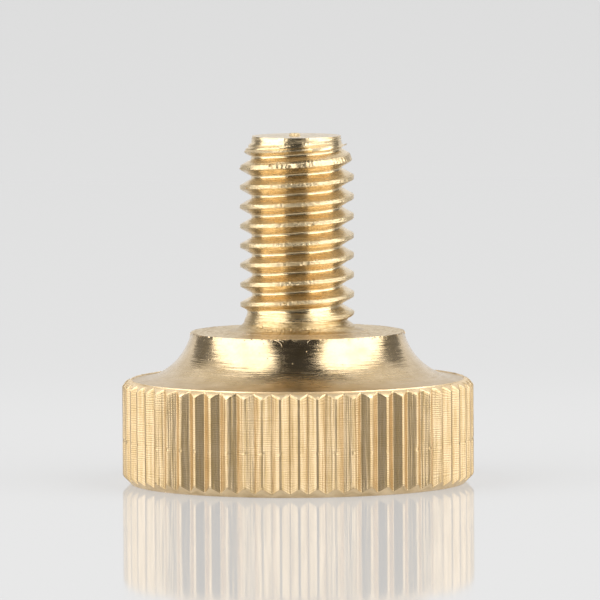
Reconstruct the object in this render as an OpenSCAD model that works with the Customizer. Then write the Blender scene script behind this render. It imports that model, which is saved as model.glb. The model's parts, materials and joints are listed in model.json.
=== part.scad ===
// Knurled thumb screw, turned from one length of round brass bar.
// It stands on the flat face of its head at z = 0, on the axis, with the shank up along +Z.
// Sizes are in millimetres. The shank is M6 x 1: its solid is the cylinder over the thread crests.

/* [Head] */
// Diameter over the crests of the knurl
head_d = 18; // [14:0.5:28]
// Height from the flat face to the seat of the collar
head_h = 7.75; // [6.5:0.25:12]
// Chamfer round the flat face, the same along and across the axis
base_chamfer = 0.45; // [0.2:0.05:0.8]
// Length of the knurl's full-height crests along the axis
crest_l = 4.55; // [3.5:0.05:5.5]
// Radial width of the sloping shoulder above the knurl
shoulder_w = 0.45; // [0.2:0.05:0.8]
// Rise of that shoulder up to the sharp lip of the cove
shoulder_h = 0.3; // [0.1:0.05:0.6]

/* [Knurl] */
// Number of straight V grooves round the head
groove_n = 60; // [24:1:72]
// Radial depth of each groove
groove_depth = 0.25; // [0.15:0.01:0.44]
// Width of the flat crest left between two grooves
crest_w = 0.12; // [0.06:0.02:0.3]

/* [Collar] */
// Diameter of the flat seat where the cove ends
collar_d = 10.9; // [8:0.1:12]

/* [Shank] */
// Diameter over the thread crests
thread_d = 5.85; // [4:0.05:7.5]
// Length from the seat to the end face
shank_l = 10.05; // [5:0.05:30]
// Diameter of the end face
tip_d = 4.5; // [2.5:0.1:5.6]
// Length of the taper that leads the thread in
tip_l = 1.1; // [0.3:0.1:2]
// Radius left by the turning tool between shank and seat
root_r = 0.15; // [0.05:0.05:0.4]

/* [Cut-off pip] */
// Diameter of the small pip at its foot
pip_d = 0.45; // [0.2:0.05:1]
// Diameter of the pip at its top
pip_top_d = 0.28; // [0.1:0.02:0.8]
// Height that the pip stands above the end face
pip_h = 0.13; // [0.05:0.01:0.3]

/* [Hidden] */

head_r = head_d / 2;
collar_r = collar_d / 2;
thread_r = thread_d / 2;
shoulder_z = base_chamfer + crest_l;
lip_r = head_r - shoulder_w;
lip_z = shoulder_z + shoulder_h;
end_z = head_h + shank_l;

// The cove is one arc: level where it leaves the lip, and up to the edge of the seat.
cove_run = lip_r - collar_r;
cove_rise = head_h - lip_z;
cove_r = (pow(cove_run, 2) + pow(cove_rise, 2)) / (2 * cove_rise);

// Grooves share the crest circle equally and leave crest_w between them.
groove_pitch = PI * head_d / groove_n;
groove_w = groove_pitch - crest_w;
// How far each cutter reaches past the head, so that it cuts clean through
overcut = 0.5;

root_step = 15;

// Everything the lathe cuts, as a half section with the axis at x = 0
module turned_section() {
    difference() {
        polygon(concat(
            [
                [0, 0],
                [head_r - base_chamfer, 0],
                [head_r, base_chamfer],
                [head_r, shoulder_z],
                [lip_r - shoulder_w, lip_z + shoulder_h],
                [lip_r - shoulder_w, head_h]
            ],
            [
                for (a = [270:-root_step:180])
                    [thread_r + root_r * (1 + cos(a)), head_h + root_r * (1 + sin(a))]
            ],
            [
                [thread_r, end_z - tip_l],
                [tip_d / 2, end_z],
                [pip_d / 2, end_z],
                [pip_top_d / 2, end_z + pip_h],
                [0, end_z + pip_h]
            ]
        ));
        translate([lip_r, lip_z + cove_r])
            circle(r = cove_r, $fn = 96);
    }
}

// One V cutter as long as the knurl, its point on the groove's bottom line
module groove_cutter() {
    flare = groove_w / 2 * (groove_depth + overcut) / groove_depth;
    translate([head_r - groove_depth, 0, -overcut])
        linear_extrude(height = lip_z + 2 * overcut)
            polygon([[0, 0], [groove_depth + overcut, -flare], [groove_depth + overcut, flare]]);
}

module thumb_screw() {
    color("#d9b27c")
        difference() {
            rotate_extrude($fn = 96)
                turned_section();
            for (i = [0 : groove_n - 1])
                rotate([0, 0, (i + 0.5) * 360 / groove_n])
                    groove_cutter();
        }
}

thumb_screw();
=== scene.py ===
"""Knurled thumb screw in free-machining brass, standing on its head.

The turned and knurled body, with its cut thread, is one closed surface worked out here in millimetres.
Small burrs left by the tools are a second piece. Both stand for the one CAD solid.
"""

import json
import math
from functools import partial

import bmesh
import bpy
import numpy as np
from bpy.props import FloatProperty, FloatVectorProperty, IntProperty, PointerProperty
from mathutils import Matrix, Vector


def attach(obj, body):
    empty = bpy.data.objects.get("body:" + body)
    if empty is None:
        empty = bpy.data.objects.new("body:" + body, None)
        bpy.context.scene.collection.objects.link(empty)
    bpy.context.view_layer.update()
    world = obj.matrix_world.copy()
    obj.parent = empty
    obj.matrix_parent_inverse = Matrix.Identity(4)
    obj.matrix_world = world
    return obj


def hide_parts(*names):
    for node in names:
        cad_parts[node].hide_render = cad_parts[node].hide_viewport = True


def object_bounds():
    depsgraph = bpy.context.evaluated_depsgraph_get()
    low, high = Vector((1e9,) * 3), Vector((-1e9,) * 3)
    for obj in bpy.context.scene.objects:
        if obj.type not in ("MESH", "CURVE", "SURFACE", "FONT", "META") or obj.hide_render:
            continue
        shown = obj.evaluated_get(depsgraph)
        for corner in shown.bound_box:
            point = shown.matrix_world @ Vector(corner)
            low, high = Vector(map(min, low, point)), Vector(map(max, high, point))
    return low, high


bl_info = {
    "name": "Knurled Thumb Screw",
    "version": (1, 0, 0),
    "blender": (4, 5, 0),
    "location": "3D View > Sidebar > Thumb Screw",
    "description": "Builds a knurled brass thumb screw and the plain studio it stands in",
    "category": "Object",
}

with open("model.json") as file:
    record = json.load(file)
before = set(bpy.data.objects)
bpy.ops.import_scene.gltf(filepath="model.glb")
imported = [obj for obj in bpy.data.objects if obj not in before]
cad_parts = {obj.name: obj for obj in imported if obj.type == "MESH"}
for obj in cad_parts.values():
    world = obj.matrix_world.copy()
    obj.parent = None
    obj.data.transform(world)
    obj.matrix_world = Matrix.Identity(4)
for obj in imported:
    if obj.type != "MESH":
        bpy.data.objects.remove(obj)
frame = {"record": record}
CAD_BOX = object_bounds()

MM = 0.001  # one millimetre in metres
TURN = 2 * math.pi

MOUNTS = {mount["name"]: mount for mount in frame["record"]["mounts"]}
HEAD_D = CAD_BOX[1].x - CAD_BOX[0].x
TOP_Z = CAD_BOX[1].z
SEAT_Z = MOUNTS["seat"]["pos_m"][2]
THREAD_R = MOUNTS["thread"]["dims"]["r_mm"] * MM
PIP_H = 0.13 * MM
END_Z = TOP_Z - PIP_H


def linear_colour(code):
    """An sRGB hex colour as linear red, green and blue."""
    parts = [int(code[i : i + 2], 16) / 255 for i in (1, 3, 5)]
    return tuple(c / 12.92 if c <= 0.04045 else ((c + 0.055) / 1.055) ** 2.4 for c in parts)


# ---------------------------------------------------------------- sizes and colours a user may change


def length(name, description, default_mm):
    """A length property, given in millimetres and kept in metres."""
    return FloatProperty(
        name=name, description=description, default=default_mm * MM, min=0.0, precision=5, unit="LENGTH"
    )


def colour(name, description, code):
    """A colour property, given as an sRGB hex value and kept linear."""
    shade = linear_colour(code)
    return FloatVectorProperty(
        name=name, description=description, default=shade, min=0.0, max=1.0, size=3, subtype="COLOR"
    )


def gloss(name, description, default):
    """A roughness, from a mirror to fully matt."""
    return FloatProperty(
        name=name, description=description, default=default, min=0.02, max=1.0, subtype="FACTOR"
    )


def brightness(name, description, default):
    """How bright a light's surface is."""
    return FloatProperty(name=name, description=description, default=default, min=0.0)


class HeadSizes(bpy.types.PropertyGroup):
    """Sizes of the head, its knurl and the cove above it."""

    head_d: length("Head diameter", "Over the crests of the knurl", HEAD_D / MM)
    head_h: length("Head height", "From the flat face to the seat of the collar", SEAT_Z / MM)
    base_chamfer: length("Base chamfer", "Round the flat face, equal both ways", 0.45)
    crest_l: length("Knurl length", "Length of the full-height crests", 4.55)
    shoulder_w: length("Shoulder width", "Radial width of the slope above the knurl", 0.45)
    shoulder_h: length("Shoulder rise", "Rise of that slope to the lip", 0.3)
    collar_d: length("Collar diameter", "Across the flat seat", 10.9)
    groove_n: IntProperty(name="Grooves", description="V grooves round the head", default=60, min=12)
    groove_depth: length("Groove depth", "Radial depth of a groove", 0.25)
    crest_w: length("Crest width", "Flat left between two grooves", 0.12)


class ThreadSizes(bpy.types.PropertyGroup):
    """Sizes of the M6 x 1 thread and the shank it is cut on."""

    crest_r: length("Crest radius", "Radius over the thread crests", THREAD_R / MM)
    root_r: length("Root radius", "Radius at the bottom of the thread", 2.32)
    pitch: length("Pitch", "Axial distance from crest to crest", 1.0)
    crest_flat: length("Crest flat", "Axial width of the flat crest", 0.19)
    tip_d: length("End face diameter", "Across the flat end", 4.54)
    pip_d: length("Pip diameter", "Foot of the small pip left where the bar was parted off", 0.52)


class BrassLook(bpy.types.PropertyGroup):
    """Colour and gloss of the bare brass."""

    bright: colour("Clean brass", "Cut faces of the knurl", "#d0b892")
    turned: colour("Turned brass", "The polished cove", "#d2bb96")
    # painted light: a paler brass than the rest, so that the chamfer, the shoulder and the lip look brighter
    # lit
    painted_light_brass: colour("Brass with painted light", "The chamfer, the shoulder and the lip", "#f4dcb4")
    warm: colour("Thread brass", "Tone of the cut thread", "#dfc9a1")
    pale: colour("Faced brass", "Paler tone of the matt faced ends", "#e0ceae")
    tarnish: colour("Dull brass", "First dulling in sheltered places", "#a98c56")
    knurl_gloss: gloss("Knurl roughness", "Roughness of the cut knurl flanks", 0.35)
    cove_gloss: gloss("Cove roughness", "Roughness of the finely turned cove", 0.16)
    thread_gloss: gloss("Thread roughness", "Roughness of the cut thread", 0.25)
    seat_gloss: gloss("Seat roughness", "Roughness of the faced seat and end", 0.42)


class StudioSet(bpy.types.PropertyGroup):
    """The pale floor, the soft lights round it and the camera."""

    floor: colour("Floor", "White acrylic sheet", "#7a7a7a")
    haze: colour("Room", "What shows past the floor", "#dddfde")
    panel_reach: length("Panel distance", "From the screw to each side panel", 500)
    panel_light: brightness("Panel brightness", "Radiance of the side panels", 3.0)
    back_light: brightness("Backdrop brightness", "Radiance of the backdrop", 0.9)
    room_light: brightness("Room brightness", "Radiance of everything else round the screw", 0.04)
    camera_reach: length("Camera distance", "Level distance from the screw's axis to the camera", 530)
    camera_rise: length("Camera height", "Height of the camera above the floor", 49.38)


class ThumbScrewSettings(bpy.types.PropertyGroup):
    """Everything that can be set for the screw."""

    head: PointerProperty(type=HeadSizes)
    thread: PointerProperty(type=ThreadSizes)
    brass: PointerProperty(type=BrassLook)
    studio: PointerProperty(type=StudioSet)


def in_mm(group):
    """The group's lengths in millimetres, and its counts as they are, as a plain object."""
    values = type("Sizes", (), {})()
    for key, prop in group.bl_rna.properties.items():
        if prop.type == "FLOAT":
            setattr(values, key, round(getattr(group, key) / MM, 6))
        elif prop.type == "INT":
            setattr(values, key, getattr(group, key))
    return values


# ---------------------------------------------------------------- surfaces


def ripple(seed, angle, height, rates, tilt):
    """A chance wave round the axis, usually about 1 high: a sum of sines. Their rates are whole numbers, so
    they close after one turn, and each has its own start and a phase that drifts with height."""
    rng = np.random.default_rng(seed)
    total = np.zeros(np.broadcast(angle, height).shape)
    for rate in rates:
        start = rng.uniform(0, TURN)
        drift = rng.uniform(-tilt, tilt)
        total += np.sin(rate * angle + drift * height + start)
    return total / math.sqrt(len(rates) / 2)


def smooth(low, high, x):
    """0 below low, 1 above high, and a smooth rise between them."""
    t = np.clip((x - low) / (high - low), 0, 1)
    return t * t * (3 - 2 * t)


def grid_faces(rows, columns, first=0):
    """Quads of a grid whose rows go up the profile and whose columns go once round and close."""
    row, column = np.meshgrid(np.arange(rows - 1), np.arange(columns), indexing="ij")
    after = (column + 1) % columns
    corners = [row * columns + column, row * columns + after]
    corners += [(row + 1) * columns + after, (row + 1) * columns + column]
    return np.stack(corners, -1).reshape(-1, 4) + first


SHANK_COLUMNS = 240
PITCH_ROWS = 18  # rows of the shank over one pitch
# Distance of each row from the groove's middle, in pitches: close together at the root and the crest's edges
ROW_PLACES = np.array([-0.5, -0.45, -0.412, -0.392, -0.31, -0.22, -0.13, -0.07, -0.035])
ROW_PLACES = np.concatenate([ROW_PLACES, [0.0], -ROW_PLACES[:0:-1]])


def knurl_section(head):
    """Cross-section of the knurl, as the angle and the radius of each column. A crest is flat, a flank is a
    straight line from the crest's edge to the groove's bottom, and the bottom is a narrow flat."""
    r = head.head_d / 2
    root = r - head.groove_depth
    step = TURN / head.groove_n
    crest_half = head.crest_w / 2 / r
    root_half = 0.018 / root
    edge = r * np.exp(1j * crest_half)
    bottom = root * np.exp(1j * (step / 2 - root_half))
    near = edge + 0.1 * (bottom - edge)
    middle = edge + 0.55 * (bottom - edge)
    left = [np.conj(edge), edge, near, middle, bottom]
    right = [np.conj(p) * np.exp(1j * step) for p in (bottom, middle, near)]
    one = np.array(left + right)
    turns = np.exp(1j * step * np.arange(head.groove_n))
    around = (turns[:, None] * one[None, :]).ravel()
    angle = np.unwrap(np.angle(around))
    return angle, np.abs(around)


def head_surface(head):
    """Rows of (zone, angle, radius, height) from the middle of the flat face to the inner edge of the seat.
    Up the profile they are the flat face, the base chamfer, the knurl, the shoulder, the lip, the cove's
    arc, the rim and the seat. The knurl's columns keep their angles up to the lip and even out over the
    cove."""
    angle, radius = knurl_section(head)
    count = len(angle)
    even = np.arange(count) * TURN / count + angle.mean() - (count - 1) * math.pi / count
    r = head.head_d / 2
    depth = r - radius
    base_r = r - head.base_chamfer
    shoulder_z = head.base_chamfer + head.crest_l
    lip_r = r - head.shoulder_w
    lip_z = shoulder_z + head.shoulder_h
    collar_r = head.collar_d / 2
    low = head.base_chamfer - depth

    # the shoulder is a little round: steep at the crests and nearly level at the lip
    def shoulder_height(radii):
        inset = np.clip((r - radii) / head.shoulder_w, 0, 1)
        return shoulder_z + head.shoulder_h * np.sin(inset * math.pi / 2)

    high = shoulder_height(radius)
    flat = np.ones(count)
    rows = []

    def row(zone, radii, heights, evenness=0.0):
        theta = angle + evenness * (even - angle)
        rows.append((zone, theta, radii * flat, heights * flat))

    for ring in (0.0, 0.5, 2.0, 4.0, 6.0, 7.6, base_r - 0.12):
        row("face", ring, 0.0)
    row("face", base_r - 0.02, 0.0)
    row("chamfer", base_r + 0.01, 0.012)
    row("chamfer", base_r + 0.4 * (radius - base_r), 0.4 * low + 0.004)
    # knurl: its crests are worn down by a few microns, and its grooves are not
    crest = 1 - depth / head.groove_depth
    row("chamfer", radius - 0.012 * crest, low - 0.004)

    def worn(heights):
        for height in heights:
            wave = ripple(11, angle, height, range(61, 130, 3), 2.0)
            row("knurl", radius - crest * (0.004 + 0.003 * np.abs(wave)), height)

    worn((low + 0.02, low + 0.12, 0.9 + 0 * low, 1.7 + 0 * low))
    # a chatter mark crosses the crests only, as two fine nicks
    for height, dip in ((2.16, 0), (2.2, 0), (2.235, 0.02), (2.27, 0.0), (2.305, 0.02), (2.34, 0), (2.38, 0)):
        row("knurl", radius - 0.004 * crest - dip * crest**12, height)
    worn((2.9, 3.5, 4.1, 4.7))
    row("knurl", radius - crest * 0.004, high - 0.05)
    # a burr stands up along both edges of each groove's end
    burr = 0.6 + 0.5 * np.abs(ripple(5, angle, 0.0, range(90, 330, 7), 1.0))
    groove = smooth(0.0, 0.3, depth / head.groove_depth)
    row("knurl", radius - crest * 0.008, high + 0.01 * burr * groove)
    row("shoulder", radius - 0.012, high + 0.045 * burr * groove)
    row("shoulder", radius - 0.04, high + 0.04 * burr * groove)
    for part in (0.0, 0.35, 0.7):
        rad = radius - 0.08 + part * (lip_r + 0.03 - radius + 0.08)
        row("shoulder", rad, shoulder_height(rad))
    ragged = np.abs(ripple(23, angle, 0.0, range(20, 240, 9), 1.0))
    row("lip", lip_r + 0.02, lip_z + 0.004 * ragged)
    row("lip", lip_r + 0.005, lip_z + 0.045 + 0.01 * ragged)
    row("lip", lip_r - 0.025, lip_z + 0.045 + 0.01 * ragged)
    row("lip", lip_r - 0.06, lip_z + 0.002)

    run = lip_r - collar_r
    rise = head.head_h - lip_z
    cove_r = (run * run + rise * rise) / (2 * rise)
    last = math.asin(run / cove_r)
    first = 0.09 / cove_r
    for part in np.linspace(0, 1, 30):
        tilt = first + (last - 0.02 - first) * part
        height = lip_z + cove_r * (1 - math.cos(tilt))
        row("cove", lip_r - cove_r * math.sin(tilt), height, float(smooth(0.0, 0.7, part)))
    nick = ripple(31, even, 0.0, range(15, 230, 7), 1.0)
    row("rim", collar_r + 0.012 + 0.006 * nick, head.head_h - 0.028 + 0.006 * nick, 1.0)
    row("rim", collar_r + 0.004 + 0.01 * nick, head.head_h + 0.004 + 0.01 * np.abs(nick), 1.0)
    row("seat", collar_r - 0.045 + 0.01 * nick, head.head_h - 0.002, 1.0)
    for ring in (5.3, 5.15, 5.0, 4.85, 4.6, 4.35, 4.1, 3.9, 3.75, 3.62):
        wave = ripple(41 + int(ring * 20), even, 0.0, range(3, 120, 5), 1.0)
        rise = 0.1 * max(0, (4.5 - ring) / 1.1) ** 2
        row("seat", ring, head.head_h - 0.004 + 0.005 * wave + rise, 1.0)
    return rows


def runout(centre):
    """Depth left in the last groove, and how far its middle is lifted, at the height of the groove's middle.
    The cutter is drawn out as it reaches the land, so the groove gets shallow and levels off."""
    heights = [7.75, 7.93, 8.06, 8.18, 8.43, 8.68, 8.95]
    depth = np.interp(centre, heights, [0.0, 0.05, 0.2, 0.39, 0.37, 0.36, 0.37])
    depth = depth + 0.24 * smooth(8.97, 9.12, centre)
    lift = np.interp(centre, heights + [9.15], [0.22, 0.3, 0.3, 0.2, 0.15, 0.13, 0.13, 0.0])
    return depth, lift


THREAD_PHASE = 0.18  # height of a groove's middle at +X, past a whole pitch
# Dents as (degrees round from +X, height, depth, half length round, half height), all but the first in mm
DENTS = [(284.7, 13.4, 0.09, 0.1, 0.05), (256.7, 9.4, 0.09, 0.045, 0.04), (229.0, 8.14, 0.07, 0.08, 0.06)]


def foot_radius(height):
    """Radius of the cone that the thread runs out into just above the seat."""
    return np.interp(height, [8.08, 8.2, 8.32, 8.45, 8.6], [2.9, 2.77, 2.58, 2.35, 2.1])


def end_radius(thread, height):
    """Outline of the shank towards its end. The crests come down slowly, then it is a short cone, then nearly
    straight."""
    share = [0.0, 0.1, 0.375, 0.56, 0.72, 0.91, 1.0]
    heights = [15.9, 16.5, 17.03, 17.2, 17.3, 17.42, 17.8]
    return thread.crest_r - (thread.crest_r - thread.tip_d / 2) * np.interp(height, heights, share)


def thread_radius(thread, angle, height):
    """Radius of the shank at an angle and a height, and how torn its skin is there. The radius is the
    lesser of the bar's outline and the helical V groove, whose 60 degree flanks rise from a root flat to
    the crest flat, but it is never under the cone of the run-out. Torn crests, rings, a seam, a torn end
    and dents are added to that."""
    offset = (height - THREAD_PHASE - angle / TURN) / thread.pitch
    across = offset - np.round(offset)
    centre = height - across * thread.pitch
    depth, lift = runout(centre)
    full = thread.crest_r - thread.root_r
    slope = math.tan(math.radians(30))
    root_half = (thread.pitch - thread.crest_flat) / 2 - full * slope
    root_round = 0.03
    away = np.abs(across * thread.pitch - lift)
    # the last groove's lower flank opens from 30 to 70 degrees
    wider = 3.8
    opening = smooth(9.15, 8.95, centre) * (across * thread.pitch < lift)
    climb = np.maximum(away - root_half, 0) / (slope * (1 + wider * opening))
    rounded = np.sqrt(climb * climb + root_round**2) - root_round * np.exp(-climb / 0.1)
    groove = thread.crest_r - (np.minimum(depth, full) - rounded)
    # below it that opened flank goes on, across where the next crest would be
    depth, lift = runout(centre + thread.pitch)
    opening = smooth(9.15, 8.95, centre + thread.pitch)
    away = thread.pitch * (1 - across) + lift - root_half
    flank = thread.crest_r - depth + away / (slope * (1 + wider * opening))
    groove = np.minimum(groove, flank)
    # the end is cut in six shallow steps a pitch, and only its last 0.4 mm is nearly straight
    step = thread.pitch / 6
    turned_up = height - angle / TURN * thread.pitch
    whole = np.floor(turned_up / step)
    stepped = step * (whole + smooth(0.15, 0.4, turned_up / step - whole) - 0.28) + height - turned_up
    place = height + (stepped - height) * smooth(16.9, 17.1, height)
    outline = end_radius(thread, place)
    low_bar = np.interp(height, [8.08, 8.2, 8.43, 8.7], [2.94, 2.9, 2.8, thread.crest_r])
    bar = np.minimum(outline, low_bar)
    # burrs: crests stand proud or are torn by chance, more so near the end face
    on_crest = smooth(-0.09, 0.0, groove - bar)
    torn = ripple(61, angle, height, range(60, 230, 3), 16.0)
    patchy = np.clip(0.5 + 0.5 * ripple(62, angle, height, range(2, 9), 1.3), 0, 1)
    front = np.exp(-(((angle - 4.55) / 0.3) ** 2))
    near_end = 1 + 0.9 * smooth(15.0, 16.6, height) - 1.9 * smooth(16.95, 17.2, height)
    near_end = near_end * (0.12 + 0.35 * patchy**2 + 0.5 * front)
    rough = on_crest * smooth(8.3, 8.6, height) * ((0.011 * torn - 0.008) * near_end - 0.012)
    slow = 0.01 * ripple(63, angle, height, range(1, 7), 0.7)
    rough = rough + on_crest * slow * smooth(8.3, 8.8, height)
    # level lines left by the turning tool on the plain land and the end
    plain_parts = 1 - smooth(8.35, 8.6, height) + smooth(17.1, 17.3, height)
    turned = plain_parts * 0.006 * ripple(67, angle, height * 9, range(1, 5), 6.0)
    # where the crest isn't full, near the end, a seam runs along its middle
    seam = 0.04 * np.exp(-(((np.abs(across) - 0.5) / 0.03) ** 2)) * smooth(16.95, 17.2, height)
    # the end's front is torn in two places
    two_places = np.exp(-(((np.abs(angle - 4.64) - 0.24) / 0.1) ** 2))
    torn_end = 0.006 * ripple(69, angle, height, range(60, 220, 7), 30.0)
    torn_end = torn_end * smooth(17.3, 17.5, height) * two_places
    radius = np.maximum(np.minimum(groove, bar), foot_radius(height)) + rough + turned - seam + torn_end
    for degrees, place, deep, long, tall in DENTS:
        near = ((angle - math.radians(degrees)) * 2.9 / long) ** 2 + ((height - place) / tall) ** 2
        radius = radius - deep * np.exp(-near)
    # the land and the end are turned, not torn, so they carry little of the crests' grain
    torn_skin = on_crest * smooth(8.2, 8.5, height) * (1 - 0.8 * smooth(17.05, 17.25, height))
    return np.minimum(radius, thread.crest_r + 0.02), torn_skin


def shank_surface(thread, low, high):
    """Angles, radii, heights and torn skin of the threaded shank, as rows that follow the helix and are cut
    off level at both ends. Row k one turn on is row k + PITCH_ROWS, so that is where the last column
    joins."""
    places = np.concatenate([ROW_PLACES + m for m in range(math.floor(low) - 2, math.ceil(high) + 1)])
    angle = np.arange(SHANK_COLUMNS) * TURN / SHANK_COLUMNS
    height = THREAD_PHASE + places[:, None] * thread.pitch + angle[None, :] / TURN * thread.pitch
    height = np.clip(height, low, high)
    around = np.broadcast_to(angle, height.shape)
    radius, crest = thread_radius(thread, around, height)
    # torn crests wander up and down a little as well
    wander = 0.007 * ripple(71, around, height, range(30, 170, 4), 7.0)
    ends = smooth(low, low + 0.4, height) * smooth(high, high - 0.2, height)
    return around, radius, height + wander * crest * ends, crest


def shank_faces(rows, first):
    """Quads of the helical grid, with the last column joined PITCH_ROWS further up."""
    row, column = np.meshgrid(np.arange(rows - 1), np.arange(SHANK_COLUMNS), indexing="ij")
    wraps = column == SHANK_COLUMNS - 1
    after = np.where(wraps, 0, column + 1)
    lower = np.minimum(row + np.where(wraps, PITCH_ROWS, 0), rows - 1)
    upper = np.minimum(row + 1 + np.where(wraps, PITCH_ROWS, 0), rows - 1)
    corners = [row * SHANK_COLUMNS + column, lower * SHANK_COLUMNS + after]
    corners += [upper * SHANK_COLUMNS + after, (row + 1) * SHANK_COLUMNS + column]
    return np.stack(corners, -1).reshape(-1, 4) + first


ZONES = ["knurl", "turned", "cove", "faced", "thread"]
ZONE_OF = {
    "face": "faced",
    "chamfer": "turned",
    "knurl": "knurl",
    "shoulder": "turned",
    "lip": "turned",
    "cove": "cove",
    "rim": "cove",
    "seat": "faced",
}


def body_surface(head, thread):
    """The whole screw as points, quads, a zone for each quad, and two guides for each point: lathe, which is
    (cosine, sine, length up the profile), and edge, which is 1 on crests and burrs."""
    points, faces, zones, lathe, edges = [], [], [], [], []

    def put(angle, radius, height, travel, edge, shift=0.0):
        start = sum(len(p) for p in points)
        x = radius * np.cos(angle) + shift
        y = radius * np.sin(angle)
        points.append(np.stack([x, y, height], -1).reshape(-1, 3))
        guide = np.stack(np.broadcast_arrays(np.cos(angle), np.sin(angle), travel), -1)
        lathe.append(guide.reshape(-1, 3))
        edges.append(np.broadcast_to(edge, np.shape(radius)).ravel())
        return start

    # head
    rows = head_surface(head)
    angle = np.array([row[1] for row in rows])
    radius = np.array([row[2] for row in rows])
    height = np.array([row[3] for row in rows])
    steps = np.hypot(np.diff(radius.mean(1)), np.diff(height.mean(1)))
    travel = np.concatenate([[0], np.cumsum(steps)])[:, None] + 0 * radius
    crest = 1 - (head.head_d / 2 - radius[12:14].mean(0)) / head.groove_depth
    is_knurl = np.array([row[0] == "knurl" for row in rows])[:, None]
    sharp = np.array([row[0] in ("lip", "rim") for row in rows])[:, None]
    edge = np.where(sharp, 1.0, np.where(is_knurl, np.clip(crest, 0, 1)[None, :], 0.0))
    start = put(angle, radius, height, travel, edge)
    columns = radius.shape[1]
    faces.append(grid_faces(len(rows), columns, start))
    names = [ZONE_OF[row[0]] for row in rows[1:]]
    zones.append(np.repeat([ZONES.index(name) for name in names], columns))
    last_head = start + (len(rows) - 1) * columns

    # foot of the shank: a ring of half as many columns, the tool's radius, and the plain land
    foot_angle = np.arange(SHANK_COLUMNS) * TURN / SHANK_COLUMNS
    profile = [(3.48, 0.075), (3.3, 0.11), (3.16, 0.155), (3.06, 0.205), (2.98, 0.265), (2.94, 0.31)]
    profile = np.array(profile)
    lift = np.array([ripple(83 + i, foot_angle, 0.0, range(4, 110, 5), 1.0) for i in range(len(profile))])
    foot_r = profile[:, :1] + 0.006 * lift
    foot_z = head.head_h + profile[:, 1:] + 0.005 * np.roll(lift, 3, axis=0)
    foot_a = np.broadcast_to(foot_angle, foot_r.shape)
    start = put(foot_a, foot_r, foot_z, foot_z, 0.0)
    head_angle = rows[-1][1]
    turn = int(np.round((foot_angle[0] - head_angle[0]) / (TURN / columns)))
    ring = np.arange(SHANK_COLUMNS)

    def ring_ends(first):
        """The ring's points that start at this one, and for each of them the next one round."""
        return first + ring, first + (ring + 1) % SHANK_COLUMNS

    outer, outer_mid, outer_next = [last_head + (2 * ring + i + turn) % columns for i in range(3)]
    inner, inner_next = ring_ends(start)
    faces.append(np.stack([outer, outer_mid, inner, inner], -1))
    faces.append(np.stack([outer_mid, outer_next, inner_next, inner], -1))
    zones.append(np.full(2 * SHANK_COLUMNS, ZONES.index("faced")))
    quads = grid_faces(len(profile), SHANK_COLUMNS, start)
    faces.append(quads)
    zones.append(np.full(len(quads), ZONES.index("thread")))
    last_foot = start + (len(profile) - 1) * SHANK_COLUMNS

    # threaded shank
    low, high = head.head_h + 0.34, END_Z / MM
    angle, radius, height, crest = shank_surface(thread, low, high)
    start = put(angle, radius, height, height, crest)
    faces.append(np.stack([*ring_ends(last_foot), *reversed(ring_ends(start))], -1))
    quads = shank_faces(len(radius), start)
    faces.append(quads)
    zones.append(np.full(len(quads) + SHANK_COLUMNS, ZONES.index("thread")))
    last_shank = start + (len(radius) - 1) * SHANK_COLUMNS
    top_r = radius[-1]

    # end face and the parted-off pip, which stands a little off the axis
    pip = thread.pip_d / 2
    pip_h = PIP_H / MM
    profile = [(1.9, -0.004), (1.2, -0.002), (0.6, -0.003), (pip + 0.03, 0.0), (pip, 0.02)]
    profile += [(pip * 0.94, 0.09), (pip * 0.8, pip_h), (0.0, pip_h - 0.04)]
    tip_r = np.array([top_r - 0.03] + [r + 0 * top_r for r, _ in profile])
    wobble = 1 + 0.12 * ripple(91, foot_angle, 0.0, range(2, 9), 1.0)
    tip_r[5:] *= wobble
    tip_z = high + np.array([0.0] + [up for _, up in profile])[:, None] + 0 * tip_r
    tip_a = np.broadcast_to(foot_angle, tip_r.shape)
    level = np.arange(len(tip_r))[:, None]
    shift = np.where(level >= 4, -0.08, 0.0) + 0 * tip_r
    edge = np.where(level > 4, 1.0, 0.0) + 0 * tip_r
    start = put(tip_a, tip_r, tip_z, 30 - tip_r, edge, shift)
    faces.append(np.stack([*ring_ends(last_shank), *reversed(ring_ends(start))], -1))
    faces.append(grid_faces(len(tip_r), SHANK_COLUMNS, start))
    zone = np.where(level > 4, ZONES.index("thread"), ZONES.index("faced"))
    zones.append(np.repeat(zone, SHANK_COLUMNS))
    return [np.concatenate(parts) for parts in (points, faces, zones, lathe, edges)]


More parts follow.
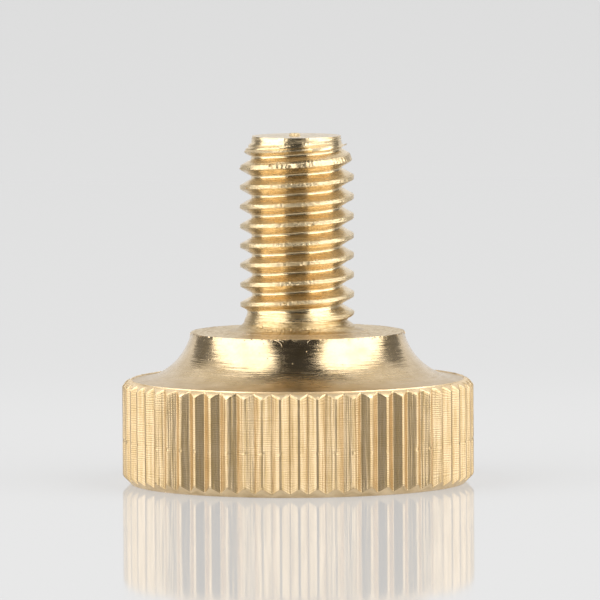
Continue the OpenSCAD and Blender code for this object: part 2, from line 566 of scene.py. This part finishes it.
def burr_surface(head, thread):
    """Slivers that the tools left, as points and quads. Each is a tapered thread of metal whose path is a
    quarter of an ellipse: it leaves along the edge it was torn from and bends down, and its section is a
    flat oval."""
    rng = np.random.default_rng(17)
    rim_r, rim_z = head.collar_d / 2 + 0.02, head.head_h - 0.02
    front = -math.pi / 2
    # a row is (place round from the front, turn) in degrees, then (drop, outward lean, half width) in mm
    # these are on the collar's rim, seen from the front
    chosen = [
        (-13.1, 4.6, 0.34, 0.11, 0.03),
        (-10.0, 2.2, 0.12, 0.04, 0.022),
        (-15.6, 2.0, 0.1, 0.03, 0.018),
        (6.6, -1.6, 0.16, 0.05, 0.02),
        (-3.0, 1.0, 0.07, 0.03, 0.02),
        (-31.0, 1.4, 0.06, 0.03, 0.025),
        (29.0, -1.2, 0.08, 0.03, 0.025),
        (33.5, 1.2, 0.05, 0.02, 0.02),
    ]
    # and the rest of the rim has some by chance
    count = 26
    limits = [(45, 315), (-3.5, 3.5), (0.03, 0.22), (0.02, 0.07), (0.012, 0.026)]
    chance = [rng.uniform(low, high, count) for low, high in limits]
    rim_n = len(chosen) + count
    # on the thread's first crests, where the die tore them
    crests = np.array([94.0, 80.0, 20.0, -34.0, 140.0, 205.0, 262.0, 60.0, -70.0, 110.0])
    place = front + np.radians(crests)
    turns_up = np.array([17, 17, 17, 16, 16, 16, 16, 15, 15, 14])
    crest_z = THREAD_PHASE + 0.5 + (place % TURN) / TURN + turns_up - 1.0
    crest_rad = thread_radius(thread, place % TURN, crest_z)[0]
    limits = [(4, 9), (-0.05, 0.12), (0.05, 0.12), (0.02, 0.035)]
    torn = [crests] + [rng.uniform(low, high, len(crests)) for low, high in limits]
    # and one that stands out at the right, just under the end
    last = [[84.0], [7.0], [-0.04], [0.14], [0.05]]
    slivers = np.concatenate([np.array(chosen).T, chance, torn, last], axis=1)[:, :, None, None]
    at, turn, drop, lean, width = slivers
    at, turn = front + np.radians(at), np.radians(turn)
    radius = np.concatenate([np.full(rim_n, rim_r), crest_rad - 0.02, [2.46]])[:, None, None]
    height = np.concatenate([np.full(rim_n, rim_z), crest_z, [17.33]])[:, None, None]

    # each sliver has 14 rings of 8 points
    rings, sides = 14, 8
    along = np.linspace(0, 1, rings)[None, :, None]
    round_it = (np.arange(sides) * TURN / sides)[None, None, :]
    bend = along * math.pi / 2
    side_step = turn * radius * np.cos(bend)
    down_step = -drop * np.sin(bend)
    pace = np.hypot(side_step, down_step) + 1e-9
    half = width * np.minimum(along / 0.12, 1) * np.sqrt(1 - along)
    across = half * np.cos(round_it)
    r = radius + lean * along + 0.55 * half * np.sin(round_it)
    theta = at + turn * np.sin(bend) - across * down_step / pace / radius
    z = height - drop * (1 - np.cos(bend)) + across * side_step / pace
    points = np.stack([r * np.cos(theta), r * np.sin(theta), z], -1)
    first = np.arange(len(points)) * rings * sides
    faces = (grid_faces(rings, sides)[None] + first[:, None, None]).reshape(-1, 4)
    return points.reshape(-1, 3), faces


def merged(points, faces, zones, *guides):
    """Joins points that fall together, and drops the corners and faces that this leaves without size."""
    key = np.round(points * 1e5).astype(np.int64)
    _, first, index = np.unique(key, axis=0, return_index=True, return_inverse=True)
    faces = index.reshape(-1)[faces]
    repeats = faces == np.roll(faces, 1, axis=1)
    sizes = 4 - repeats.sum(1)
    whole = (sizes >= 3) & (faces[:, 0] != faces[:, 2]) & (faces[:, 1] != faces[:, 3])
    faces, repeats, sizes, zones = faces[whole], repeats[whole], sizes[whole], zones[whole]
    return points[first], faces[~repeats], sizes, zones, [guide[first] for guide in guides]


def mesh_from(name, points, corners, sizes):
    """A mesh from points in millimetres, the corners of all faces in a row, and how many corners each face
    has."""
    mesh = bpy.data.meshes.new(name)
    mesh.vertices.add(len(points))
    mesh.vertices.foreach_set("co", (points * MM).astype(np.float32).ravel())
    mesh.loops.add(len(corners))
    mesh.loops.foreach_set("vertex_index", corners.astype(np.int32))
    mesh.polygons.add(len(sizes))
    starts = np.concatenate([[0], np.cumsum(sizes)[:-1]])
    mesh.polygons.foreach_set("loop_start", starts.astype(np.int32))
    mesh.update(calc_edges=True)
    if not np.isfinite(points).all():
        raise RuntimeError(f"{name}: a point of the surface has no place")
    if mesh.validate():
        raise RuntimeError(f"{name}: the surface had faces that had to be mended")
    return mesh


def finish_piece(mesh, name):
    """Puts the mesh in the scene as a piece that rides on the screw's only body."""
    piece = bpy.data.objects.new(name, mesh)
    bpy.context.scene.collection.objects.link(piece)
    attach(piece, "root")
    return piece


# ---------------------------------------------------------------- materials


def add(tree, kind, inputs=(), **settings):
    """Adds one node, sets its properties, and gives its inputs numbers or links, in order or by name. A
    node given as an input stands for its first output."""
    node = tree.nodes.new("ShaderNode" + kind)
    for key, value in settings.items():
        setattr(node, key, value)
    for key, value in inputs.items() if isinstance(inputs, dict) else enumerate(inputs):
        if isinstance(value, bpy.types.Node):
            value = value.outputs[0]
        if isinstance(value, bpy.types.NodeSocket):
            tree.links.new(value, node.inputs[key])
        else:
            node.inputs[key].default_value = value
    return node


def emptied(block):
    """Empties the node tree of a material or world, and gives add() bound to it."""
    block.use_nodes = True
    block.node_tree.nodes.clear()
    return partial(add, block.node_tree)


def rgba(value):
    """A colour with full alpha."""
    return (*value, 1.0)


# Below, a Map Range's inputs are the value, from, from, to, to. A Mix's are the factor, then 2 and 3 for
# numbers or 6 and 7 for colours, whose result is output 2. The "lathe" guide is (cosine, sine, travel in
# mm): the first two go round the screw, where one unit is its radius, and the third goes up its profile.


def knurl_brass(look):
    """Free-machining brass, planed by the knurling cutter. Each flank is satin, with fine level chatter lines
    and streaks drawn along the groove, so it glows in broad soft bands and doesn't mirror."""
    material = bpy.data.materials.new("brass_knurl_cut")
    node = emptied(material)
    guide = node("Attribute", attribute_name="lathe").outputs["Vector"]
    # streaks along the groove, 0.1 mm wide and some millimetres long: twice the real width, so that they show
    place = node("Mapping", {"Vector": guide, "Scale": (90, 90, 0.3)})
    streaks = node("TexNoise", {"Vector": place, "Scale": 1.0, "Detail": 1.0})
    # chatter lines 0.11 mm apart: coarser than the real 0.07 mm, so that they show
    chatter = {"Vector": guide, "Scale": 2.9, "Distortion": 5.0, "Detail": 1.0, "Detail Scale": 0.8}
    lines = node("TexWave", chatter, bands_direction="Z").outputs["Fac"]
    place = node("Mapping", {"Vector": guide, "Scale": (12, 12, 1.2)})
    patches = node("TexNoise", {"Vector": place, "Scale": 1.0, "Detail": 3.0})
    broad = node("MapRange", [patches, 0.35, 0.65, 0.4, 0.6])
    drawn = node("MapRange", [streaks, 0.3, 0.7, 0.0, 1.0])
    level = node("MapRange", [lines, 0.0, 1.0, 0.3, 0.7])
    marks = node("Mix", {0: 0.5, 2: drawn, 3: level})
    tone = node("Mix", {0: 0.5, 2: marks, 3: broad})
    dull = node("MapRange", [tone, 0.38, 0.64, 0.0, 0.62])
    base = node("Mix", {0: dull, 6: rgba(look.bright), 7: rgba(look.tarnish)}, data_type="RGBA")
    rough = node("MapRange", [marks, 0.2, 0.8, look.knurl_gloss - 0.06, look.knurl_gloss + 0.06])
    relief = node("Bump", {"Height": streaks, "Distance": 0.03 * MM, "Strength": 0.8})
    relief = node("Bump", {"Height": lines, "Distance": 0.0045 * MM, "Strength": 0.9, "Normal": relief})
    finish = {"Metallic": 1.0, "Base Color": base.outputs[2], "Roughness": rough, "Normal": relief}
    node("OutputMaterial", [node("BsdfPrincipled", finish)])
    return material


def turned_brass(look):
    """The same brass, turned with a pointed tool: the chamfer, the shoulder and the lip. Fine rings run
    round it and spread a highlight across themselves."""
    material = bpy.data.materials.new("brass_turned_chamfers")
    node = emptied(material)
    guide = node("Attribute", attribute_name="lathe").outputs["Vector"]
    # rings about 0.1 mm apart, coarser than the real ones
    place = node("Mapping", {"Vector": guide, "Scale": (5, 5, 12)})
    rings = node("TexNoise", {"Vector": place, "Scale": 1.0, "Detail": 2.0})
    place = node("Mapping", {"Vector": guide, "Scale": (9, 9, 3)})
    patches = node("TexNoise", {"Vector": place, "Scale": 1.0, "Detail": 3.0})
    dull = node("MapRange", [patches, 0.35, 0.7, 0.0, 0.45])
    # the paler brass here is painted light on the chamfer, the shoulder and the lip
    base = node("Mix", {0: dull, 6: rgba(look.painted_light_brass), 7: rgba(look.tarnish)}, data_type="RGBA")
    rough = node("MapRange", [patches, 0.3, 0.7, look.cove_gloss + 0.24, look.cove_gloss + 0.38])
    relief = node("Bump", {"Height": rings, "Distance": 0.03 * MM, "Strength": 0.7})
    finish = {"Metallic": 1.0, "Base Color": base.outputs[2], "Roughness": rough, "Normal": relief}
    node("OutputMaterial", [node("BsdfPrincipled", finish)])
    return material


def cove_brass(look):
    """The same brass, formed by a polished tool. It mirrors the lights, but rings and short scratches round
    it fray the edges of each highlight, and a few pits catch light. It is duller near the lip, where the
    feed was coarse."""
    material = bpy.data.materials.new("brass_cove_turned")
    node = emptied(material)
    guide = node("Attribute", attribute_name="lathe").outputs["Vector"]
    # rings 0.1 to 0.2 mm apart that last one to two millimetres, drawn coarser than the real ones
    place = node("Mapping", {"Vector": guide, "Scale": (4, 4, 8)})
    rings = node("TexNoise", {"Vector": place, "Scale": 1.0, "Detail": 3.0, "Roughness": 0.65})
    place = node("Mapping", {"Vector": guide, "Scale": (1.6, 1.6, 11)})
    long_rings = node("TexNoise", {"Vector": place, "Scale": 1.0, "Detail": 1.0})
    place = node("Mapping", {"Vector": guide, "Scale": (7, 7, 1.6)})
    patches = node("TexNoise", {"Vector": place, "Scale": 1.0, "Detail": 4.0, "Roughness": 0.6})
    # pits 0.05 mm wide; about one cell in twelve has one, and a cell is 0.15 mm wide
    place = node("Mapping", {"Vector": guide, "Scale": (38, 38, 6.5)})
    cells = node("TexVoronoi", {"Vector": place, "Scale": 1.0, "Randomness": 1.0})
    chance = node("SeparateXYZ", [cells.outputs["Color"]])
    hollow = node("MapRange", [cells.outputs["Distance"], 0.12, 0.3, 0.0, 1.0])
    filled = node("MapRange", [chance, 0.08, 0.1, 0.0, 1.0])
    pits = node("Math", [hollow, filled], operation="MAXIMUM")
    # travel is about 14.6 mm at the lip and 19 mm at the rim
    travel = node("SeparateXYZ", [guide]).outputs[2]
    coarse = node("MapRange", [travel, 14.6, 17.2, 0.18, 0.0])
    worn = node("Math", [patches, coarse], operation="ADD")
    dull = node("MapRange", [worn, 0.4, 0.8, 0.0, 0.5])
    base = node("Mix", {0: dull, 6: rgba(look.turned), 7: rgba(look.tarnish)}, data_type="RGBA")
    rough = node("MapRange", [rings, 0.3, 0.7, look.cove_gloss - 0.03, look.cove_gloss + 0.1])
    rough = node("Math", [rough, coarse], operation="ADD")
    relief = node("Bump", {"Height": rings, "Distance": 0.03 * MM, "Strength": 0.6})
    relief = node("Bump", {"Height": long_rings, "Distance": 0.02 * MM, "Strength": 0.5, "Normal": relief})
    relief = node("Bump", {"Height": pits, "Distance": 0.01 * MM, "Strength": 0.5, "Normal": relief})
    finish = {"Metallic": 1.0, "Base Color": base.outputs[2], "Roughness": rough, "Normal": relief}
    # the rings scatter light up and down the profile, and less round it
    finish.update({"Anisotropic": 0.5, "Anisotropic Rotation": 0.25})
    finish["Tangent"] = node("Tangent", direction_type="RADIAL", axis="Z")
    node("OutputMaterial", [node("BsdfPrincipled", finish)])
    return material


def faced_brass(look):
    """The same brass, faced across on the lathe: the seat, the flat of the head and the end. It is coarse
    and a little torn, so it is matt and pale."""
    material = bpy.data.materials.new("brass_faced_ends")
    node = emptied(material)
    guide = node("Attribute", attribute_name="lathe").outputs["Vector"]
    # rings about 0.2 mm apart, as coarse as the real feed
    place = node("Mapping", {"Vector": guide, "Scale": (3, 3, 6)})
    rings = node("TexNoise", {"Vector": place, "Scale": 1.0, "Detail": 3.0})
    # torn grain about 0.2 mm across, twice the real size so that it shows
    place = node("Mapping", {"Vector": guide, "Scale": (22, 22, 6)})
    grain = node("TexNoise", {"Vector": place, "Scale": 1.0, "Detail": 3.0, "Roughness": 0.6})
    tone = node("Mix", {0: 0.5, 2: rings, 3: grain})
    dull = node("MapRange", [tone, 0.42, 0.6, 0.0, 0.6])
    base = node("Mix", {0: dull, 6: rgba(look.pale), 7: rgba(look.tarnish)}, data_type="RGBA")
    # the end was cut last and is glossier: travel is over 27 mm there
    travel = node("SeparateXYZ", [guide]).outputs[2]
    matt = node("MapRange", [travel, 24.0, 25.0, 1.0, 0.55])
    rough = node("MapRange", [grain, 0.3, 0.7, look.seat_gloss - 0.1, look.seat_gloss + 0.1])
    rough = node("Math", [rough, matt], operation="MULTIPLY")
    height = node("Math", [tone, matt], operation="MULTIPLY")
    relief = node("Bump", {"Height": height, "Distance": 0.14 * MM, "Strength": 0.8})
    finish = {"Metallic": 1.0, "Base Color": base.outputs[2], "Roughness": rough, "Normal": relief}
    node("OutputMaterial", [node("BsdfPrincipled", finish)])
    return material


def thread_brass(look):
    """The same brass, cut by a die. The flanks and roots carry fine lines and glow orange where they mirror
    each other. The crests are torn and rough, and the land under the last groove has coarse level rings."""
    material = bpy.data.materials.new("brass_thread_cut")
    node = emptied(material)
    guide = node("Attribute", attribute_name="lathe").outputs["Vector"]
    crest = node("Attribute", attribute_name="edge").outputs["Fac"]
    # lines 0.1 mm apart, coarser than the real ones so that they show
    place = node("Mapping", {"Vector": guide, "Scale": (2.5, 2.5, 9)})
    lines = node("TexNoise", {"Vector": place, "Scale": 1.0, "Detail": 2.0})
    # tears about 0.13 mm across
    place = node("Mapping", {"Vector": guide, "Scale": (22, 22, 8)})
    tears = node("TexNoise", {"Vector": place, "Scale": 1.0, "Detail": 3.0, "Roughness": 0.6})
    # travel is the height here: the land is lower than 8.9 mm, and its torn flare lower than 8.3 mm
    travel = node("SeparateXYZ", [guide]).outputs[2]
    land = node("MapRange", [travel, 8.3, 8.9, 1.0, 0.0])
    flare = node("MapRange", [travel, 8.0, 8.3, 1.0, 0.1])
    place = node("Mapping", {"Vector": guide, "Scale": (0.8, 0.8, 7)})
    rings = node("TexNoise", {"Vector": place, "Scale": 1.0, "Detail": 3.0, "Roughness": 0.7})
    ringed = node("Math", [rings, land], operation="MULTIPLY")
    tone = node("Mix", {0: 0.5, 2: lines, 3: tears})
    dull = node("MapRange", [tone, 0.46, 0.66, 0.0, 0.4])
    dull = node("Math", [ringed, 0.9, dull], operation="MULTIPLY_ADD")
    base = node("Mix", {0: dull, 6: rgba(look.warm), 7: rgba(look.tarnish)}, data_type="RGBA")
    rough = node("MapRange", [lines, 0.3, 0.7, look.thread_gloss - 0.05, look.thread_gloss + 0.07])
    rough = node("Math", [crest, 0.05, rough], operation="MULTIPLY_ADD")
    rough = node("Math", [land, 0.07, rough], operation="MULTIPLY_ADD")
    torn = node("Math", [crest, flare], operation="MAXIMUM")
    torn = node("Math", [tears, torn], operation="MULTIPLY")
    relief = node("Bump", {"Height": lines, "Distance": 0.04 * MM, "Strength": 0.7})
    relief = node("Bump", {"Height": ringed, "Distance": 0.14 * MM, "Strength": 0.9, "Normal": relief})
    relief = node("Bump", {"Height": torn, "Distance": 0.06 * MM, "Strength": 0.7, "Normal": relief})
    finish = {"Metallic": 1.0, "Base Color": base.outputs[2], "Roughness": rough, "Normal": relief}
    # the lines scatter light up and down, and hardly sideways
    finish.update({"Anisotropic": 0.6, "Anisotropic Rotation": 0.25})
    finish["Tangent"] = node("Tangent", direction_type="RADIAL", axis="Z")
    node("OutputMaterial", [node("BsdfPrincipled", finish)])
    return material


def burr_brass(look):
    """The same brass, torn and work-hardened into bright slivers with a slightly uneven skin."""
    material = bpy.data.materials.new("brass_torn_burrs")
    node = emptied(material)
    place = node("TexCoord").outputs["Object"]
    # skin marks about 0.1 mm across
    skin = node("TexNoise", {"Vector": place, "Scale": 1 / (0.1 * MM), "Detail": 2.0})
    shade = node("MapRange", [skin, 0.4, 0.7, 0.0, 0.3])
    base = node("Mix", {0: shade, 6: rgba(look.pale), 7: rgba(look.turned)}, data_type="RGBA")
    rough = node("MapRange", [skin, 0.3, 0.7, 0.2, 0.34])
    relief = node("Bump", {"Height": skin, "Distance": 0.01 * MM, "Strength": 0.5})
    finish = {"Metallic": 1.0, "Base Color": base.outputs[2], "Roughness": rough, "Normal": relief}
    node("OutputMaterial", [node("BsdfPrincipled", finish)])
    return material


def acrylic_floor(look):
    """White acrylic sheet, polished. It mirrors more the lower the eye is, over a plain white body."""
    material = bpy.data.materials.new("white_acrylic_sheet")
    node = emptied(material)
    # painted glow: the sheet gives off even light of its own, so the screw casts almost no shadow on it and
    # the chamfer above it looks brighter
    face = node("BsdfDiffuse", {"Color": rgba(look.floor)})
    glow = node("Emission", {"Color": (1, 1, 1, 1), "Strength": 0.47})
    body = node("AddShader", [face, glow])
    polish = node("BsdfGlossy", {"Color": (1, 1, 1, 1), "Roughness": 0.05})
    # the sheet is a little dull, so it mirrors about half of what clean acrylic would
    fresnel = node("Fresnel", {"IOR": 1.49})
    share = node("Math", [fresnel, 0.53], operation="MULTIPLY")
    node("OutputMaterial", [node("MixShader", [share, body, polish])])
    return material


# ---------------------------------------------------------------- operators


class THUMBSCREW_OT_body(bpy.types.Operator):
    """Builds the knurled head, cove, collar and threaded shank as one closed surface"""

    bl_idname = "thumbscrew.body"
    bl_label = "Screw body"

    def execute(self, context):
        settings = context.scene.thumb_screw
        surface = body_surface(in_mm(settings.head), in_mm(settings.thread))
        points, corners, sizes, zones, guides = merged(*surface)
        mesh = mesh_from("screw_body", points, corners, sizes)
        # in the order of ZONES
        for brass in (knurl_brass, turned_brass, cove_brass, faced_brass, thread_brass):
            mesh.materials.append(brass(settings.brass))
        mesh.polygons.foreach_set("material_index", zones.astype(np.int32))
        mesh.polygons.foreach_set("use_smooth", np.ones(len(sizes), bool))
        mesh.attributes.new("lathe", "FLOAT_VECTOR", "POINT").data.foreach_set(
            "vector", guides[0].astype(np.float32).ravel()
        )
        mesh.attributes.new("edge", "FLOAT", "POINT").data.foreach_set("value", guides[1].astype(np.float32))
        mesh.set_sharp_from_angle(angle=math.radians(28))
        mesh.update()
        piece = finish_piece(mesh, "screw_body")
        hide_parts("thumb_screw")
        return {"FINISHED"}


class THUMBSCREW_OT_burrs(bpy.types.Operator):
    """Adds the fine slivers that hang from the collar's rim and the first thread crests"""

    bl_idname = "thumbscrew.burrs"
    bl_label = "Tool burrs"

    def execute(self, context):
        settings = context.scene.thumb_screw
        points, faces = burr_surface(in_mm(settings.head), in_mm(settings.thread))
        points, corners, sizes, _, _ = merged(points, faces, np.zeros(len(faces)))
        mesh = mesh_from("tool_burrs", points, corners, sizes)
        mesh.materials.append(burr_brass(settings.brass))
        mesh.polygons.foreach_set("use_smooth", np.ones(len(sizes), bool))
        # which way a closed sliver faces depends on its turn, so its normals are worked out again
        shape = bmesh.new()
        shape.from_mesh(mesh)
        bmesh.ops.recalc_face_normals(shape, faces=shape.faces)
        shape.to_mesh(mesh)
        shape.free()
        finish_piece(mesh, "tool_burrs")
        return {"FINISHED"}


class THUMBSCREW_OT_stage(bpy.types.Operator):
    """Lays the pale floor, hangs the soft lights and sets up the camera"""

    bl_idname = "thumbscrew.stage"
    bl_label = "Studio and camera"

    def execute(self, context):
        look = context.scene.thumb_screw.studio
        scene = context.scene
        scene.view_settings.view_transform = "Standard"
        # floor: a flat round sheet, level with the screw's flat face
        columns = 96
        rings = np.array([0.0, 0.2, 1.0, 3.0])[:, None]
        angle = np.arange(columns) * TURN / columns
        points = np.stack([rings * np.cos(angle), rings * np.sin(angle), 0 * rings * angle], -1)
        points = points.reshape(-1, 3) / MM
        faces = grid_faces(len(rings), columns)[:, ::-1]
        flat, corners, sizes, _, _ = merged(points, faces, np.zeros(len(faces)))
        mesh = mesh_from("floor", flat, corners, sizes)
        mesh.materials.append(acrylic_floor(look))
        floor = bpy.data.objects.new("floor", mesh)
        scene.collection.objects.link(floor)

        def panel(name, place, aim, width, height, radiance):
            """A soft panel of even radiance: its power is radiance x area x pi."""
            light = bpy.data.lights.new(name, "AREA")
            light.shape = "RECTANGLE"
            light.size = width
            light.size_y = height
            light.energy = radiance * width * height * math.pi
            lamp = bpy.data.objects.new(name, light)
            scene.collection.objects.link(lamp)
            facing = Vector(aim).to_track_quat("-Z", "Y").to_matrix().to_4x4()
            lamp.matrix_world = Matrix.Translation(place) @ facing
            lamp.visible_camera = False

        # the side panels, which the brass mirrors as bright columns
        tall, back = 1.8, 0.13
        for name, side, front in (("left", -1, -0.78), ("right", 1, -0.9)):
            place = (side * look.panel_reach, (front + back) / 2, tall / 2)
            panel("side_panel_" + name, place, (-side, 0, 0), back - front, tall, look.panel_light)
        # the backdrop, whose foot is a little dimmer
        behind, wide, foot = 0.65, 1.1, 0.05
        panel("back_panel", (0, behind, 0.725), (0, -1, 0), wide, 1.35, look.back_light)
        panel("back_foot", (0, behind, foot / 2), (0, -1, 0), wide, foot, look.back_light * 0.89)
        # between a side panel and the backdrop: dim low down, where there is a gap, and lit above it
        for name, side in (("left", -1), ("right", 1)):
            for part, middle, height, share in (("low", 0.24, 0.48, 0.2), ("high", 1.0, 1.0, 0.85)):
                place = (side * 0.54, 0.39, middle)
                panel(f"gap_{part}_{name}", place, (-side, -0.5, 0), 0.5, height, look.back_light * share)

        world = bpy.data.worlds.new("soft_room")
        scene.world = world
        node = emptied(world)
        seen = node("Background", {"Color": rgba(look.haze), "Strength": 1.0})
        felt = node("Background", {"Color": (1, 1, 1, 1), "Strength": look.room_light})
        to_camera = node("LightPath").outputs["Is Camera Ray"]
        node("OutputWorld", [node("MixShader", [to_camera, felt, seen])])

        # a long lens from just above the floor, level with the head, a little to the left and tipped slightly
        camera = bpy.data.cameras.new("camera")
        camera.sensor_width = 36.0
        camera.lens = 622.8
        camera.clip_start = 0.01
        camera.clip_end = 20.0
        stand = bpy.data.objects.new("camera", camera)
        scene.collection.objects.link(stand)
        swing = math.radians(0.23)
        tip = -0.006
        out = look.camera_reach
        place = Vector((-out * math.sin(swing), -out * math.cos(swing), look.camera_rise))
        target = Vector((0.136 * MM, 0, 9.37 * MM))
        facing = (target - place).to_track_quat("-Z", "Y").to_matrix().to_4x4()
        stand.matrix_world = Matrix.Translation(place) @ facing @ Matrix.Rotation(tip, 4, "Z")
        scene.camera = stand
        return {"FINISHED"}


class THUMBSCREW_PT_panel(bpy.types.Panel):
    """Lists the steps that build the screw"""

    bl_idname = "THUMBSCREW_PT_panel"
    bl_label = "Thumb Screw"
    bl_space_type = "VIEW_3D"
    bl_region_type = "UI"
    bl_category = "Thumb Screw"

    def draw(self, context):
        settings = context.scene.thumb_screw
        for group in (settings.head, settings.thread, settings.brass, settings.studio):
            box = self.layout.box()
            for key in group.bl_rna.properties.keys():
                if key not in ("rna_type", "name"):
                    box.prop(group, key)
        self.layout.operator(THUMBSCREW_OT_body.bl_idname)
        self.layout.operator(THUMBSCREW_OT_burrs.bl_idname)
        self.layout.operator(THUMBSCREW_OT_stage.bl_idname)


CLASSES = (
    HeadSizes,
    ThreadSizes,
    BrassLook,
    StudioSet,
    ThumbScrewSettings,
    THUMBSCREW_OT_body,
    THUMBSCREW_OT_burrs,
    THUMBSCREW_OT_stage,
    THUMBSCREW_PT_panel,
)


def register():
    for cls in CLASSES:
        bpy.utils.register_class(cls)
    bpy.types.Scene.thumb_screw = PointerProperty(type=ThumbScrewSettings)


def unregister():
    del bpy.types.Scene.thumb_screw
    for cls in reversed(CLASSES):
        bpy.utils.unregister_class(cls)


def main():
    register()
    bpy.ops.thumbscrew.body()
    bpy.ops.thumbscrew.burrs()
    bpy.ops.thumbscrew.stage()
    bpy.context.view_layer.update()


if __name__ == "__main__":
    main()
